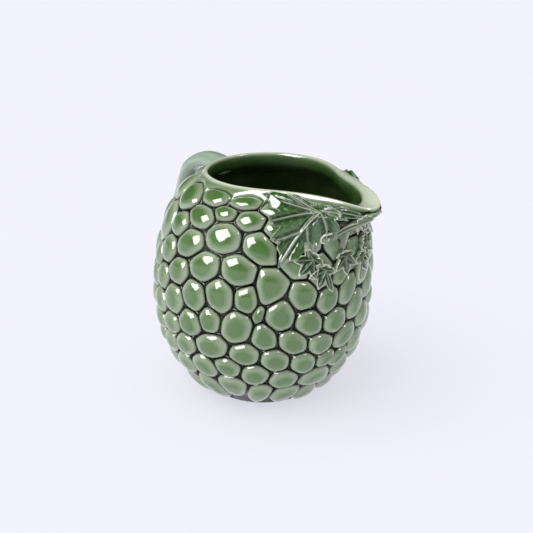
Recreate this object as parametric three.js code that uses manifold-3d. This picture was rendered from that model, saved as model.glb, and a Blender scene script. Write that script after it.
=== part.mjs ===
// A pouring jug in the form of a bunch of green grapes.
// The body is one thin-walled casting: a round belly covered in grapes, a plain rim and a long beak.
// A vine-branch handle and a spray of vine leaves with tendrils are moulded apart and luted on.
// Millimetres, +Z up. The origin is the middle of the foot, on the surface that the jug stands on.
// The beak points along +X and the handle along -X.
import * as THREE from "three";
import Module from "manifold-3d";

const wasm = await Module();
wasm.setup();

// Driving dimensions of the body, measured over the tops of the grapes
const RIM_HEIGHT = 153.5;
const BELLY_RADIUS = 74.2;
const BELLY_LEVEL = 70;
const FOOT_RADIUS = 41;
const SHOULDER_CLOSE = 2.5; // the full shoulder would close over this far above the rim
const SHOULDER_FULLNESS = 2.3;
const SHOULDER_TURN = 4;
const MOUTH_SHIFT = 5.5; // the mouth's middle sits this far towards the beak
const MOUTH_RADIUS = 38.2;

// Walls
const GRAPE_RELIEF = 4.6;
const WALL = 5;
const FLOOR = 6;
const FOOT_ROUNDING = 1.8;
const FOOT_INSET = 2.5; // the foot stands back this far under the lowest grapes
const RIM_THICKNESS = 3;
const RIM_ROUNDING = 2; // depth of the rounded edge that the rim has on both sides

// Beak
const BEAK_REACH = 50.5; // from the mouth's circle to the tip
const BEAK_DEPTH = 31; // level below the rim at which the beak starts
const BEAK_SOFTNESS = 0.15; // how gently its keel leaves the wall
const BEAK_HALF_ANGLE = 17.2; // degrees off the beak at which it has half its reach
const BEAK_BLUNTNESS = 2.26; // a higher value gives a blunter tip
const BEAK_DIP = 6; // the tip is turned down by this much
const DIP_SHARPNESS = 7; // a higher value turns less of the rim down
const BEAK_WALL = 9; // level thickness through the beak's sloping floor
const BEAK_NOSE = 3; // the nose under the lip swells out by this much
const LIP_FLARE = 12; // the inner edge of the lip stays this far behind the tip

// Grapes. A course is a ring of grapes at one level, given as a share of the rim's height, with
// the angle of one of them. The grapes rise and crowd together in three places round the jug.
const COURSES = [
  { level: 0.112, count: 20, start: -81.2, rise: 0.14, crowd: -1 },
  { level: 0.202, count: 20, start: -82.2, rise: 0.56, crowd: -2 },
  { level: 0.304, count: 23, start: -102.4, rise: 0.49, crowd: 3.8 },
  { level: 0.41, count: 24, start: -85.8, rise: 0.58, crowd: -2 },
  { level: 0.522, count: 23, start: -98.7, rise: 0.9, crowd: -1.2 },
  { level: 0.644, count: 22, start: -91.7, rise: 0.97, crowd: 4.3 },
  { level: 0.738, count: 21, start: -85.3, rise: 1, crowd: 6.3 },
  { level: 0.873, count: 21, start: -105.5, rise: 0.7, crowd: -2 },
  { level: 0.961, count: 14, start: -113, rise: 0, crowd: 0 },
];
const TINY_GRAPE = { course: 4, angle: -47, level: 0.521, size: 0.45 };
const COURSE_RISE = 14.3;
const RISE_ANGLE = -66;
const SCATTER = 1;
const COLLAR_WIDTH = 1.7; // the grapes end this far below the rim
const BEAK_COLLAR = 2; // and this much lower on the beak
const FOOT_SINK = 11; // the grapes next to the foot would end this far below it
const FOOT_STOP = -1; // but no grape's outline reaches lower
const LOW_GRAPE = 0.62; // share of its height that a grape keeps under a leaf

// Handle
const HANDLE_WIDTH = 17.2;
const HANDLE_THICKNESS = 11.6;
const HANDLE_DROP = 5.1; // its middle at the top lies this far below the rim
const HANDLE_STANDOFF = 17.3; // its middle at the widest stands this far out from the belly
const HANDLE_FOOT_LEVEL = 52;
const HANDLE_SEAT = 3; // the grapes lie flat this far round its ends

// Leaves
const LEAF_SIZE = 43; // from the hub of the largest leaf to its tip
const LEAF_RISE = 1.5; // a leaf's veins stand this proud of the grape tops
const LEAF_DEPTH = 1.2; // and its underside lies this deep below the grooves
const LEAF_MARGIN = 1; // the grapes lie low this far round a leaf
const LEAF_STOP = 1.9; // no leaf reaches nearer to the rim
const LEAF_GUARD = 3; // a later leaf ends beside an earlier one, unless it is this far above it
const PLAIN_BEAK = 0.16;
const VEIN_HEIGHT = 1.1;
const HUB_RISE = 0.3; // a leaf's hub stands this proud
const HUB_SINK = 0.2; // and is sunk by this much round it
const CLEARANCE = 0.3; // a luted piece keeps this gap to what it is seated on

const SHOULDER_TOP = RIM_HEIGHT + SHOULDER_CLOSE;
const HANDLE_TOP = RIM_HEIGHT - HANDLE_DROP;
const HANDLE_REACH = BELLY_RADIUS + HANDLE_STANDOFF;
const BODY_SIDES = 48;
const COLOURS = { glaze: 0x4f8450, leaf: 0x5c8c60, branch: 0x8fae8c };

const radians = THREE.MathUtils.degToRad;
const degrees = THREE.MathUtils.radToDeg;
const clamp = THREE.MathUtils.clamp;

// A repeatable value from -1 to 1 for a whole number.
function chance(n) {
  const wave = Math.sin(n * 12.9898) * 43758.5453;
  return 2 * (wave - Math.floor(wave)) - 1;
}

// An angle in degrees brought into -180..180.
function wrapped(angle) {
  return angle - 360 * Math.round(angle / 360);
}

// The body's outline over the grapes: half an ellipse below the belly, a fuller shoulder above it.
function envelopeRadius(level) {
  if (level < BELLY_LEVEL) {
    const depth = BELLY_LEVEL / Math.sqrt(1 - (FOOT_RADIUS / BELLY_RADIUS) ** 2);
    return BELLY_RADIUS * Math.sqrt(1 - ((BELLY_LEVEL - level) / depth) ** 2);
  }
  const share = clamp((level - BELLY_LEVEL) / (SHOULDER_TOP - BELLY_LEVEL), 0, 0.995);
  return BELLY_RADIUS * (1 - share ** SHOULDER_FULLNESS) ** (1 / SHOULDER_TURN);
}

// The upper body leans towards the beak.
function lean(level) {
  const share = clamp((level - BELLY_LEVEL) / (RIM_HEIGHT - BELLY_LEVEL), 0, 1.1);
  return MOUTH_SHIFT * share ** 1.1;
}

function beakClimb(level) {
  return clamp((level - RIM_HEIGHT + BEAK_DEPTH) / BEAK_DEPTH, 0, 1);
}

// The beak's keel leaves the wall softly and then runs straight to the tip.
function outerReach(level) {
  const climb = Math.hypot(beakClimb(level), BEAK_SOFTNESS) - BEAK_SOFTNESS;
  return (BEAK_REACH * climb) / (Math.hypot(1, BEAK_SOFTNESS) - BEAK_SOFTNESS);
}

// The channel inside the beak follows the outside a wall's thickness in, and stops short of the tip.
function innerReach(radius, level) {
  const keel = envelopeRadius(level) + outerReach(level);
  return clamp(keel - BEAK_WALL - radius, 0, BEAK_REACH - LIP_FLARE);
}

function beakShare(angle) {
  return 1 / (1 + Math.abs(wrapped(angle) / BEAK_HALF_ANGLE) ** BEAK_BLUNTNESS);
}

// A point at a radius from the leaning axis, pushed out by the beak and let down with its tip.
function turned(angle, radius, level, reach) {
  const share = beakShare(angle);
  const out = radius + reach * share;
  const a = radians(angle);
  const dip = BEAK_DIP * share ** DIP_SHARPNESS * beakClimb(level) ** 2;
  return new THREE.Vector3(
    lean(level) + out * Math.cos(a),
    out * Math.sin(a),
    level - dip,
  );
}

function skin(angle, level) {
  return turned(angle, envelopeRadius(level), level, outerReach(level));
}

// A point of the outer surface, raised or sunk along the surface's normal.
function outerPoint(angle, level, height) {
  const across = skin(angle + 0.5, level).sub(skin(angle - 0.5, level));
  const along = skin(angle, level + 0.4).sub(skin(angle, level - 0.4));
  const normal = across.cross(along).normalize();
  return skin(angle, level).addScaledVector(normal, height);
}

// Depth of the grooves below the outline: they run out on the beak, which is plain
function relief(angle, level) {
  return GRAPE_RELIEF * (1 - 0.5 * beakShare(angle) * beakClimb(level) ** 0.5);
}

// Distance along the outline from the foot up to a level, and its inverse
const ARC_STEP = 0.5;
const arcs = [0];
for (let level = ARC_STEP; level <= RIM_HEIGHT + ARC_STEP; level += ARC_STEP) {
  const rise = envelopeRadius(level) - envelopeRadius(level - ARC_STEP);
  arcs.push(arcs[arcs.length - 1] + Math.hypot(rise, ARC_STEP));
}

function arcAt(level) {
  return arcs[clamp(Math.round(level / ARC_STEP), 0, arcs.length - 1)];
}

function levelAt(arc) {
  const above = arcs.findIndex((value) => value >= arc);
  if (above < 1) return above === 0 ? 0 : (arcs.length - 1) * ARC_STEP;
  const share = (arc - arcs[above - 1]) / (arcs[above] - arcs[above - 1]);
  return (above - 1 + share) * ARC_STEP;
}

// A surface under construction: shared vertices and triangles that face out
class Surface {
  positions = [];
  triangles = [];

  add(point) {
    this.positions.push(point.x, point.y, point.z);
    return this.positions.length / 3 - 1;
  }

  loop(points) {
    return points.map((point) => this.add(point));
  }

  // A band between two loops with as many points each
  band(lower, upper) {
    lower.forEach((a, i) => {
      const b = lower[(i + 1) % lower.length];
      const c = upper[(i + 1) % upper.length];
      this.triangles.push(a, b, c, a, c, upper[i]);
    });
  }

  // A cap that closes a loop towards a middle point
  cap(loop, middle) {
    loop.forEach((a, i) => this.triangles.push(a, loop[(i + 1) % loop.length], middle));
  }

  floor(middle, loop) {
    loop.forEach((a, i) => this.triangles.push(middle, loop[(i + 1) % loop.length], a));
  }

  solid() {
    return new wasm.Manifold(
      new wasm.Mesh({
        numProp: 3,
        vertProperties: new Float32Array(this.positions),
        triVerts: new Uint32Array(this.triangles),
      }),
    );
  }
}

// Pairs two rings of items that run the same way round, always over the shorter diagonal.
// It calls back with (lower, nextLower, upper) or (lower, nextUpper, upper) as triangles.
function zip(lower, upper, distance, triangle) {
  let j = 0;
  upper.forEach((item, k) => {
    if (distance(lower[0], item) < distance(lower[0], upper[j])) j = k;
  });
  let i = 0;
  let lowerSteps = 0;
  let upperSteps = 0;
  while (lowerSteps < lower.length || upperSteps < upper.length) {
    const nextLower = lower[(i + 1) % lower.length];
    const nextUpper = upper[(j + 1) % upper.length];
    const upIsShorter = distance(lower[i], nextUpper) < distance(nextLower, upper[j]);
    const goUp = lowerSteps === lower.length || (upperSteps < upper.length && upIsShorter);
    if (goUp) {
      triangle([lower[i], nextUpper, upper[j]]);
      j = (j + 1) % upper.length;
      upperSteps += 1;
    } else {
      triangle([lower[i], nextLower, upper[j]]);
      i = (i + 1) % lower.length;
      lowerSteps += 1;
    }
  }
}

function onPlainBeak(centre) {
  return beakShare(centre.angle) * beakClimb(centre.level) > PLAIN_BEAK;
}

function underLeaves(centre) {
  return Object.values(LEAVES).some((leaf) => {
    const across = -radians(leaf.angle + Math.abs(centre.angle)) * chartRadius(leaf);
    const up = arcAt(centre.level) - arcAt(hubLevel(leaf));
    const turn = wrapped(degrees(Math.atan2(up, across)) - leaf.points);
    return Math.hypot(across, up) < leafRadius(leaf, turn) + LEAF_MARGIN;
  });
}

function underHandle(centre) {
  const off = radians(Math.abs(wrapped(centre.angle - 180))) * envelopeRadius(centre.level);
  const nearTop = centre.level > HANDLE_TOP - HANDLE_THICKNESS;
  const nearFoot = Math.abs(centre.level - HANDLE_FOOT_LEVEL) < HANDLE_THICKNESS;
  return off < HANDLE_WIDTH / 2 + HANDLE_SEAT && (nearTop || nearFoot);
}

// The share of its height that a grape has: none on the plain beak and under the handle's ends.
function fullness(centre) {
  if (onPlainBeak(centre) || underHandle(centre)) return 0;
  return underLeaves(centre) ? LOW_GRAPE : 1;
}

// The middles of one course of grapes
function courseOf({ level, count, start, rise, crowd }, course) {
  const middles = [];
  for (let k = 0; k < count; k++) {
    const even = start + (360 * k) / count;
    const phase = radians(3 * (even - RISE_ANGLE));
    const seed = 40 * course + k;
    const scatterAngle = degrees(SCATTER / BELLY_RADIUS) * chance(seed);
    const raised = COURSE_RISE * rise * Math.cos(phase) + SCATTER * chance(seed + 0.5);
    middles.push({
      angle: wrapped(even + crowd * Math.sin(phase) + scatterAngle),
      level: RIM_HEIGHT * level + raised,
      size: 1 + 0.12 * chance(seed + 0.25),
      grape: true,
    });
  }
  if (course === TINY_GRAPE.course) {
    middles.push({ ...TINY_GRAPE, level: RIM_HEIGHT * TINY_GRAPE.level, grape: true });
  }
  return middles.sort((a, b) => a.angle - b.angle);
}

function plainRing(level, count) {
  const ring = [];
  for (let k = 0; k < count; k++) {
    ring.push({ angle: -180 + (360 * (k + 0.5)) / count, level, size: 1, grape: false });
  }
  return ring;
}

function spacing(a, b) {
  const across = radians(wrapped(a.angle - b.angle)) * envelopeRadius((a.level + b.level) / 2);
  return Math.hypot(across, arcAt(a.level) - arcAt(b.level));
}

// The cells of the grape pattern: each grape's outline is the ring of corners between it and
// its neighbours, and a corner lies nearer to the smaller grapes.
function grapeCells() {
  const rings = [
    plainRing(-FOOT_SINK, COURSES[0].count),
    ...COURSES.map(courseOf),
    plainRing(RIM_HEIGHT + COLLAR_WIDTH / 2, COURSES[COURSES.length - 1].count + 3),
  ];
  const cells = rings.flat().filter((middle) => middle.grape);
  cells.forEach((cell) => (cell.corners = []));
  for (let k = 1; k < rings.length; k++) {
    zip(rings[k - 1], rings[k], spacing, (trio) => {
      const total = trio.reduce((sum, m) => sum + 1 / m.size, 0);
      const share = (pick) => trio.reduce((sum, m) => sum + pick(m) / m.size, 0) / total;
      const angle = wrapped(trio[0].angle + share((m) => wrapped(m.angle - trio[0].angle)));
      const highest = RIM_HEIGHT - COLLAR_WIDTH - BEAK_COLLAR * beakShare(angle);
      const corner = {
        angle,
        level: clamp(share((m) => m.level), FOOT_STOP, highest),
        edge: trio.some((m) => !m.grape),
      };
      trio.filter((m) => m.grape).forEach((m) => m.corners.push(corner));
    });
  }
  for (const cell of cells) {
    const bearing = (corner) => Math.atan2(
      arcAt(corner.level) - arcAt(cell.level),
      radians(wrapped(corner.angle - cell.angle)) * BELLY_RADIUS,
    );
    cell.corners.sort((a, b) => bearing(a) - bearing(b));
  }
  return cells;
}

// Rings of a grape from its groove to its top: how far in from the outline, and how high
const DOME = [
  { inward: 0.2, rise: 0.64 },
  { inward: 0.52, rise: 0.93 },
];

function addGrape(surface, cell, corners, swell) {
  const at = (corner, inward, height) => {
    const angle = cell.angle + wrapped(corner.angle - cell.angle) * (1 - inward);
    const level = cell.level + (corner.level - cell.level) * (1 - inward);
    return outerPoint(angle, level, (height - 1) * relief(angle, level) + swell);
  };
  const full = fullness(cell);
  if (full === 0) {
    const mean = (pick) => cell.corners.reduce((sum, c) => sum + pick(c), 0) / corners.length;
    const middle = {
      angle: cell.angle + mean((c) => wrapped(c.angle - cell.angle)),
      level: mean((c) => c.level),
    };
    surface.cap(corners, surface.add(at(middle, 0, 0)));
    return;
  }
  let below = corners;
  for (const ring of full < 1 ? DOME.slice(1) : DOME) {
    const above = surface.loop(cell.corners.map((c) => at(c, ring.inward, ring.rise * full)));
    surface.band(below, above);
    below = above;
  }
  surface.cap(below, surface.add(at(cell, 0, full)));
}

// The loops of corners along which the grapes end, at the foot and at the collar
function openEdges(surface, cells, indexOf) {
  const next = new Map();
  for (const cell of cells) {
    cell.corners.forEach((corner, k) => {
      const other = cell.corners[(k + 1) % cell.corners.length];
      next.set(indexOf.get(corner) + ">" + indexOf.get(other), [corner, other]);
    });
  }
  const after = new Map();
  for (const [from, to] of next.values()) {
    if (!next.has(indexOf.get(to) + ">" + indexOf.get(from))) after.set(from, to);
  }
  const loops = [];
  while (after.size) {
    const loop = [];
    let corner = after.keys().next().value;
    while (after.has(corner)) {
      const following = after.get(corner);
      loop.push({ ...corner, index: indexOf.get(corner) });
      after.delete(corner);
      corner = following;
    }
    loops.push(loop);
  }
  loops.sort((a, b) => a[0].level - b[0].level);
  loops[1].reverse(); // the collar's loop runs clockwise round the grapes
  return loops;
}

// Sides of the plain parts are closer together near the beak's tip.
const sideAngles = [];
for (let k = 0; k < BODY_SIDES; k++) {
  const even = -180 + (360 * k) / BODY_SIDES;
  sideAngles.push(even - degrees(0.72 * Math.sin(radians(even))));
}

// A plain ring of the body, grown sideways by an amount
function plainLoop(surface, radius, level, reach, swell = 0) {
  const loop = sideAngles.map((angle) => {
    const along = turned(angle + 0.5, radius, level, reach)
      .sub(turned(angle - 0.5, radius, level, reach));
    const sideways = new THREE.Vector3(along.y, -along.x, 0).normalize();
    return turned(angle, radius, level, reach).addScaledVector(sideways, swell);
  });
  return surface.loop(loop).map((index, k) => ({ angle: sideAngles[k], level, index }));
}

// Levels of the rings of the inside, as shares of the rim's height
const INSIDE_LEVELS = [0.97, 0.94, 0.895, 0.83, 0.74, 0.63, 0.51, 0.39, 0.28, 0.187, 0.105];

// The inside follows the outside at the wall's thickness below the grooves.
function innerProfile() {
  const depth = GRAPE_RELIEF + WALL;
  const profile = [
    [MOUTH_RADIUS, RIM_HEIGHT - WALL],
    [MOUTH_RADIUS, RIM_HEIGHT - 2 * WALL],
  ];
  for (const share of INSIDE_LEVELS) {
    const level = RIM_HEIGHT * share;
    const slope = envelopeRadius(level + 0.5) - envelopeRadius(level - 0.5);
    const length = Math.hypot(slope, 1);
    profile.push([
      envelopeRadius(level) - depth / length,
      level + (depth * slope) / length,
    ]);
  }
  profile.push([FOOT_RADIUS - 0.2 * WALL, FLOOR + WALL], [FOOT_RADIUS - 1.6 * WALL, FLOOR]);
  return profile;
}

// The cast body: foot, grapes, collar, rim, inside wall and floor as one closed surface
function bodySolid(swell) {
  const surface = new Surface();
  const cells = grapeCells();
  const indexOf = new Map();
  for (const cell of cells) {
    for (const corner of cell.corners) {
      if (indexOf.has(corner)) continue;
      const merging = corner.edge && corner.level > BELLY_LEVEL;
      const depth = relief(corner.angle, corner.level) * (merging ? 0.5 : 1);
      const point = outerPoint(corner.angle, corner.level, swell - depth);
      indexOf.set(corner, surface.add(point));
    }
  }
  for (const cell of cells) {
    addGrape(surface, cell, cell.corners.map((c) => indexOf.get(c)), swell);
  }
  const [footEdge, collarEdge] = openEdges(surface, cells, indexOf);
  const indices = (loop) => loop.map((item) => item.index);
  const stitch = (lower, upper) => zip(lower, upper, spacing, (trio) => {
    surface.triangles.push(...trio.map((item) => item.index));
  });

  const under = surface.add(new THREE.Vector3(0, 0, 0));
  const footRadius = FOOT_RADIUS - FOOT_INSET;
  const sole = plainLoop(surface, footRadius - FOOT_ROUNDING, 0, 0, swell);
  const heel = plainLoop(surface, footRadius - 0.25 * FOOT_ROUNDING, FOOT_ROUNDING, 0, swell);
  surface.floor(under, indices(sole));
  surface.band(indices(sole), indices(heel));
  stitch(heel, footEdge);

  // The collar under the rim fills out towards the beak, so that the keel runs straight to the tip.
  const rimOuter = MOUTH_RADIUS + RIM_THICKNESS;
  const outside = [
    [rimOuter + 0.45 * RIM_ROUNDING, RIM_HEIGHT - RIM_ROUNDING, BEAK_NOSE],
    [rimOuter, RIM_HEIGHT - 0.5 * RIM_ROUNDING, BEAK_NOSE / 3],
    [rimOuter - 0.3 * RIM_ROUNDING, RIM_HEIGHT - 0.12 * RIM_ROUNDING, 0],
  ].map(([radius, level, fill]) => {
    return plainLoop(surface, radius, level, outerReach(level) + fill, swell);
  });
  stitch(collarEdge, outside[0]);
  const crestRadius = MOUTH_RADIUS + RIM_THICKNESS / 2;
  const crest = plainLoop(surface, crestRadius, RIM_HEIGHT + swell, BEAK_REACH);
  const lip = [
    [MOUTH_RADIUS + 0.35 * RIM_ROUNDING, RIM_HEIGHT - 0.25 * RIM_ROUNDING],
    [MOUTH_RADIUS, RIM_HEIGHT - RIM_ROUNDING],
    ...innerProfile(),
  ].map(([radius, level]) => plainLoop(surface, radius, level, innerReach(radius, level)));
  const chain = [...outside, crest, ...lip];
  for (let k = 1; k < chain.length; k++) surface.band(indices(chain[k - 1]), indices(chain[k]));
  surface.cap(
    indices(chain[chain.length - 1]),
    surface.add(new THREE.Vector3(0, 0, FLOOR)),
  );
  return surface.solid();
}

function largest(solid) {
  return solid.decompose().reduce((a, b) => (a.volume() > b.volume() ? a : b));
}

// The route of the handle's middle, from inside the collar to inside the belly: how far out, as a
// share of its reach, and how high, as a share of the way from its foot to its top
const HANDLE_ROUTE = [
  [0.328, 0.95],
  [0.481, 0.992],
  [0.612, 0.992],
  [0.732, 0.936],
  [0.812, 0.838],
  [0.872, 0.695],
  [0.94, 0.56],
  [0.99, 0.415],
  [1, 0.259],
  [0.923, 0.109],
  [0.721, 0],
];

// The handle: a vine branch bent over the shoulder, with two knots and a tapering foot
function handleSolid() {
  const middle = new THREE.CatmullRomCurve3(
    HANDLE_ROUTE.map(([out, up]) => {
      const level = HANDLE_FOOT_LEVEL + (HANDLE_TOP - HANDLE_FOOT_LEVEL) * up;
      return new THREE.Vector3(-HANDLE_REACH * out, 0, level);
    }),
  );
  const stations = 30;
  const sides = 14;
  const surface = new Surface();
  const side = new THREE.Vector3(0, 1, 0);
  let previous = null;
  let first = null;
  for (let k = 0; k <= stations; k++) {
    const share = k / stations;
    const point = middle.getPointAt(share);
    const outward = new THREE.Vector3().crossVectors(middle.getTangentAt(share), side);
    const knot = 1 + 0.1 * Math.exp(-(((share - 0.3) / 0.035) ** 2))
      + 0.08 * Math.exp(-(((share - 0.72) / 0.035) ** 2));
    const root = 1 + 0.3 * Math.exp(-((share / 0.1) ** 2));
    const width = (HANDLE_WIDTH / 2) * knot * root * (1 - 0.12 * share);
    const thickness = (HANDLE_THICKNESS / 2) * knot * (1 - 0.1 * share);
    const ring = [];
    for (let j = 0; j < sides; j++) {
      const turn = (2 * Math.PI * j) / sides;
      const bark = 1 + 0.035 * Math.cos(7 * turn + 9 * share);
      ring.push(
        point.clone()
          .addScaledVector(side, width * bark * Math.cos(turn))
          .addScaledVector(outward, thickness * bark * Math.sin(turn)),
      );
    }
    const loop = surface.loop(ring);
    if (previous) surface.band(previous, loop);
    else first = loop;
    previous = loop;
  }
  surface.floor(surface.add(middle.getPointAt(0)), first);
  surface.cap(previous, surface.add(middle.getPointAt(1)));
  return surface.solid();
}

// The outline of a vine leaf as a distance from its hub, for an angle off its middle vein:
// pointed lobes along the veins, with small teeth between them
function leafRadius(leaf, angle) {
  let reach = leaf.heart;
  for (const [vein, length, width] of leaf.lobes) {
    const off = Math.abs(wrapped(angle - vein)) / width;
    reach = Math.max(reach, length * (1 - 0.62 * off ** 0.9));
  }
  const teeth = 1 + leaf.teeth * Math.cos(radians(leaf.toothCount * angle));
  return LEAF_SIZE * leaf.size * reach * teeth;
}

function hubLevel(leaf) {
  return RIM_HEIGHT * leaf.level;
}

// The radius of the wall at a leaf's hub, which turns distances round the jug into angles
function chartRadius(leaf) {
  const level = hubLevel(leaf);
  return envelopeRadius(level) + outerReach(level) * beakShare(leaf.angle);
}

function veinRise(leaf, angle) {
  let rise = 0;
  for (const [vein] of leaf.lobes) {
    const off = Math.abs(wrapped(angle - vein));
    rise = Math.max(rise, 1 - off / 16);
  }
  return Math.max(rise, 0);
}

// The place on the body that lies so far across and up from a leaf's hub, in mm
function besideHub(leaf, across, up) {
  const level = levelAt(arcAt(hubLevel(leaf)) + up);
  const angle = leaf.angle + degrees(across / chartRadius(leaf));
  return { angle, level: Math.min(level, RIM_HEIGHT - LEAF_STOP) };
}

// Points over a place on the body: on the leaf's face, and on its underside below the grooves
function leafFace(leaf, across, up, height) {
  const { angle, level } = besideHub(leaf, across, up);
  return outerPoint(angle, level, height);
}

function leafBed(leaf, across, up, swell) {
  const { angle, level } = besideHub(leaf, across, up);
  return outerPoint(angle, level, -relief(angle, level) - LEAF_DEPTH - swell);
}

// A leaf: a thin sheet with raised veins and lowered edges, bedded on the body. The copy that cuts
// later leaves is grown sideways by the clearance and raised by the guard.
function leafSolid(leaf, swell = 0, guard = 0) {
  const surface = new Surface();
  const turns = [];
  for (let k = 0; k < leaf.sides; k++) turns.push(-180 + (360 * k) / leaf.sides);
  const ring = (share, height) => surface.loop(
    turns.map((turn) => {
      const reach = (leafRadius(leaf, turn) + swell) * share;
      const a = radians(turn + leaf.points);
      const across = reach * Math.cos(a);
      const up = reach * Math.sin(a);
      if (height === null) return leafBed(leaf, across, up, swell);
      const vein = VEIN_HEIGHT * veinRise(leaf, turn) * (1 - 0.5 * share);
      return leafFace(leaf, across, up, height + vein + guard);
    }),
  );
  const rise = LEAF_RISE - VEIN_HEIGHT;
  const sunk = ring(1, null);
  const rim = ring(1, rise - leaf.droop);
  const body = ring(0.7, rise);
  const heart = ring(0.32, rise - HUB_SINK);
  surface.floor(surface.add(leafBed(leaf, 0, 0, swell)), sunk);
  surface.band(sunk, rim);
  surface.band(rim, body);
  surface.band(body, heart);
  surface.cap(heart, surface.add(leafFace(leaf, 0, 0, rise + guard + HUB_RISE)));
  return surface.solid();
}

// A tendril: a narrow raised strand that ends in a curl
function tendrilSolid(tendril) {
  const surface = new Surface();
  const steps = 18;
  let previous = null;
  let first = null;
  const place = (share) => {
    const curl = radians(tendril.turn * share ** 1.5 * tendril.way);
    const arm = LEAF_SIZE * tendril.length * (1 - 0.72 * share);
    const a = radians(tendril.points) + curl;
    return [arm * Math.cos(a), arm * Math.sin(a)];
  };
  for (let k = 0; k <= steps; k++) {
    const share = k / steps;
    const [x, y] = place(share);
    const [nx, ny] = place(share + 0.01);
    const length = Math.hypot(nx - x, ny - y);
    const half = LEAF_SIZE * tendril.width * (0.5 - 0.15 * share);
    const sx = (-(ny - y) / length) * half;
    const sy = ((nx - x) / length) * half;
    const beside = [1, 0, -1].map((s) => {
      return leafFace(tendril, x + sx * s, y + sy * s, tendril.rise - Math.abs(s));
    });
    const below = [-1, 1].map((s) => leafBed(tendril, x + sx * s, y + sy * s, 0));
    const loop = surface.loop([below[1], ...beside, below[0]]);
    if (previous) surface.band(previous, loop);
    else first = loop;
    previous = loop;
  }
  surface.cap(previous, surface.add(leafFace(tendril, ...place(1), -LEAF_RISE)));
  surface.floor(surface.add(leafFace(tendril, ...place(0), -LEAF_RISE)), first);
  return surface.solid();
}

// The spray of leaves: hub by angle round the jug and by level as a share of the rim's height, size
// to the middle lobe's tip as a share of the largest leaf's, and the direction the middle vein
// points (0 is round towards +angle, 90 is up). A lobe is its vein's angle off the middle one, its
// length as a share of the leaf's size, and its half width.
const FIVE_LOBES = [
  [0, 1, 30],
  [48, 0.95, 28],
  [-48, 0.95, 28],
  [100, 0.66, 34],
  [-100, 0.66, 34],
];
const DROP_LOBES = [
  [0, 1, 30],
  [-48, 0.95, 28],
  [42, 1.35, 13],
  [100, 0.66, 34],
  [-100, 0.66, 34],
];
const LONG_LEAF = [
  [0, 1, 30],
  [34, 0.72, 26],
  [-34, 0.72, 26],
];
const HANGING_LEAF = [
  [0, 1, 24],
  [27, 0.93, 22],
  [-27, 0.93, 22],
];
const SPREAD_LEAF = [
  [0, 1, 24],
  [24, 0.76, 22],
  [50, 0.66, 26],
  [-19, 0.86, 20],
  [-42, 0.78, 22],
  [-73, 0.86, 24],
  [-97, 0.5, 26],
];
const LEAVES = {
  beak_leaf: {
    angle: 0, level: 0.938, size: 0.7, points: -90, sides: 32, lobes: HANGING_LEAF,
    teeth: 0.05, toothCount: 16, heart: 0.3, droop: 0.9,
  },
  bud_leaf: {
    angle: 0, level: 0.73, size: 0.28, points: -90, sides: 32, lobes: FIVE_LOBES,
    teeth: 0.05, toothCount: 16, heart: 0.34, droop: 0.6,
  },
  rim_leaf: {
    angle: -17.5, level: 0.951, size: 0.4, points: 4, sides: 32, lobes: LONG_LEAF,
    teeth: 0.06, toothCount: 16, heart: 0.34, droop: 0.8,
  },
  vine_leaf: {
    angle: -18, level: 0.945, size: 1, points: -123, sides: 60, lobes: SPREAD_LEAF,
    teeth: 0.05, toothCount: 30, heart: 0.2, droop: 1.2,
  },
  small_leaf: {
    angle: -20, level: 0.75, size: 0.31, points: -135, sides: 32, lobes: FIVE_LOBES,
    teeth: 0.05, toothCount: 16, heart: 0.34, droop: 0.6,
  },
  lower_leaf: {
    angle: -13.5, level: 0.697, size: 0.28, points: -115, sides: 32, lobes: DROP_LOBES,
    teeth: 0.05, toothCount: 16, heart: 0.34, droop: 0.6,
  },
};
// A tendril's place is given like a leaf's, its lengths as shares of the largest leaf's size.
const TENDRIL = {
  angle: -12, level: 0.812, length: 0.15, points: 70, turn: 330, way: 1, width: 0.056, rise: 0.6,
};

function meshOf(name, solid, colour, roughness) {
  const mesh = solid.getMesh();
  const geometry = new THREE.BufferGeometry();
  geometry.setAttribute("position", new THREE.BufferAttribute(mesh.vertProperties, 3));
  geometry.setIndex(new THREE.BufferAttribute(mesh.triVerts, 1));
  geometry.computeVertexNormals();
  const material = new THREE.MeshStandardMaterial({ color: colour, roughness, metalness: 0 });
  const made = new THREE.Mesh(geometry, material);
  made.name = name;
  return made;
}

// The jug is put together in the order it is luted: each piece is cut to seat on those before it.
const jug = new THREE.Group();
jug.add(meshOf("jug_body", bodySolid(0), COLOURS.glaze, 0.15));
const seats = [bodySolid(CLEARANCE), bodySolid(0).translate([0, 0, CLEARANCE])];

function lute(name, solid, grown, colour) {
  const seated = seats.reduce((piece, seat) => piece.subtract(seat), solid);
  jug.add(meshOf(name, largest(seated), colour, 0.2));
  seats.push(grown, solid.translate([0, 0, CLEARANCE]), solid.translate([0, 0, -CLEARANCE]));
}

lute("branch_handle", handleSolid(), handleSolid(), COLOURS.branch);
for (const name of ["beak_leaf", "bud_leaf"]) {
  const guard = leafSolid(LEAVES[name], CLEARANCE, LEAF_GUARD);
  lute(name, leafSolid(LEAVES[name]), guard, COLOURS.leaf);
}
for (const side of ["right", "left"]) {
  const placed = (solid) => (side === "right" ? solid : solid.mirror([0, 1, 0]));
  for (const name of ["rim_leaf", "vine_leaf", "small_leaf", "lower_leaf"]) {
    const guard = placed(leafSolid(LEAVES[name], CLEARANCE, LEAF_GUARD));
    lute(name + "_" + side, placed(leafSolid(LEAVES[name])), guard, COLOURS.leaf);
  }
  const strand = placed(tendrilSolid(TENDRIL));
  lute("tendril_" + side, strand, strand, COLOURS.leaf);
}

export default jug;
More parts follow.
